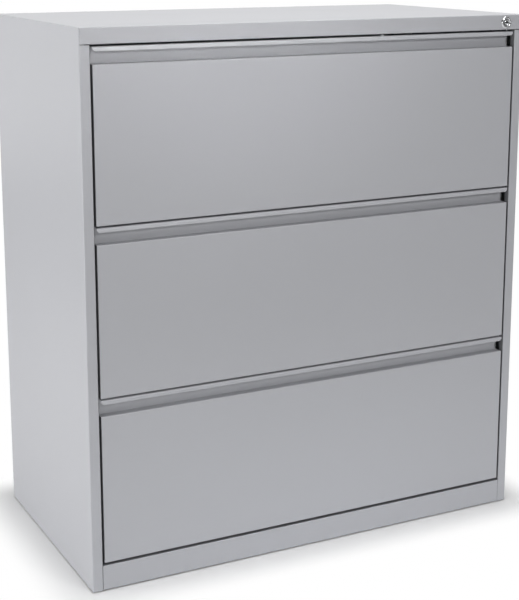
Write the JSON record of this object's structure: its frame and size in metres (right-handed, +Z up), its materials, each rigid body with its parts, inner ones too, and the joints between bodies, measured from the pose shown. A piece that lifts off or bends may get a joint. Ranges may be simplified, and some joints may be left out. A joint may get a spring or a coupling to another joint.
{
  "type": "lateral filing cabinet",
  "caption": "Lateral filing cabinet of folded sheet steel: full-width drawers on telescopic slides, recessed finger pulls, hanging-file rails, a key lock in the top rail and levelling glides.",
  "frame": {"origin": "on the floor, under the middle of the cabinet's box", "axes": "+X to the right seen from the front, +Y to the back, +Z up; the drawers open towards -Y"},
  "size_m": [0.9144, 0.4915, 1.013],
  "materials": {
    "paint": "satin light silver-grey powder coat",
    "zinc": "zinc-plated steel",
    "chrome": "polished chrome plate",
    "iron": "dark primed steel",
    "plastic": "black moulded nylon"
  },
  "bodies": {
    "case": {"side_panel_left": "paint", "side_panel_right": "paint", "top_panel": "paint", "back_panel": "paint", "bottom_panel": "paint", "base_rail": "paint", "upright_front_left": "zinc", "upright_front_right": "zinc", "upright_rear_left": "zinc", "upright_rear_right": "zinc", "counterweight": "iron", "glide_front_left": "plastic", "glide_front_right": "plastic", "glide_rear_left": "plastic", "glide_rear_right": "plastic", "lock_housing": "chrome", "lock_nut": "zinc", "slide_outer_left_top": "zinc", "slide_outer_right_top": "zinc", "slide_outer_left_middle": "zinc", "slide_outer_right_middle": "zinc", "slide_outer_left_bottom": "zinc", "slide_outer_right_bottom": "zinc"},
    "drawer_top": {"drawer_front_top": "paint", "drawer_liner_top": "paint", "drawer_tray_top": "paint", "drawer_side_left_top": "paint", "drawer_side_right_top": "paint", "hang_rail_front_top": "zinc", "hang_rail_rear_top": "zinc", "slide_inner_left_top": "zinc", "slide_inner_right_top": "zinc"},
    "drawer_middle": {"drawer_front_middle": "paint", "drawer_liner_middle": "paint", "drawer_tray_middle": "paint", "drawer_side_left_middle": "paint", "drawer_side_right_middle": "paint", "hang_rail_front_middle": "zinc", "hang_rail_rear_middle": "zinc", "slide_inner_left_middle": "zinc", "slide_inner_right_middle": "zinc"},
    "drawer_bottom": {"drawer_front_bottom": "paint", "drawer_liner_bottom": "paint", "drawer_tray_bottom": "paint", "drawer_side_left_bottom": "paint", "drawer_side_right_bottom": "paint", "hang_rail_front_bottom": "zinc", "hang_rail_rear_bottom": "zinc", "slide_inner_left_bottom": "zinc", "slide_inner_right_bottom": "zinc"},
    "slides_top": {"slide_mid_left_top": "zinc", "slide_mid_right_top": "zinc"},
    "slides_middle": {"slide_mid_left_middle": "zinc", "slide_mid_right_middle": "zinc"},
    "slides_bottom": {"slide_mid_left_bottom": "zinc", "slide_mid_right_bottom": "zinc"},
    "lock_plug": {"lock_plug": "chrome", "lock_cam": "zinc"},
    "lock_bar": {"lock_bar": "zinc"}
  },
  "joints": [
    {"name": "drawer_top_open", "type": "slide", "parent": "case", "child": "drawer_top", "axis": [0, -1, 0], "range_m": [0, 0.4]},
    {"name": "drawer_middle_open", "type": "slide", "parent": "case", "child": "drawer_middle", "axis": [0, -1, 0], "range_m": [0, 0.4]},
    {"name": "drawer_bottom_open", "type": "slide", "parent": "case", "child": "drawer_bottom", "axis": [0, -1, 0], "range_m": [0, 0.4]},
    {"name": "slides_top_run", "type": "slide", "parent": "case", "child": "slides_top", "axis": [0, -1, 0], "range_m": [0, 0.2]},
    {"name": "slides_middle_run", "type": "slide", "parent": "case", "child": "slides_middle", "axis": [0, -1, 0], "range_m": [0, 0.2]},
    {"name": "slides_bottom_run", "type": "slide", "parent": "case", "child": "slides_bottom", "axis": [0, -1, 0], "range_m": [0, 0.2]},
    {"name": "lock_turn", "type": "hinge", "parent": "case", "child": "lock_plug", "pos_m": [0.4167, -0.2445, 0.9985], "axis": [0, -1, 0], "range_deg": [0, 90]},
    {"name": "lock_bar_lift", "type": "slide", "parent": "case", "child": "lock_bar", "axis": [0, 0, 1], "range_m": [0, 0.01131]}
  ],
  "couplings": [
    {"joint": "slides_top_run", "follows": "drawer_top_open", "ratio": 0.5},
    {"joint": "slides_middle_run", "follows": "drawer_middle_open", "ratio": 0.5},
    {"joint": "slides_bottom_run", "follows": "drawer_bottom_open", "ratio": 0.5},
    {"joint": "lock_turn", "follows": "lock_bar_lift", "rad_per_m": 138.8}
  ]
}
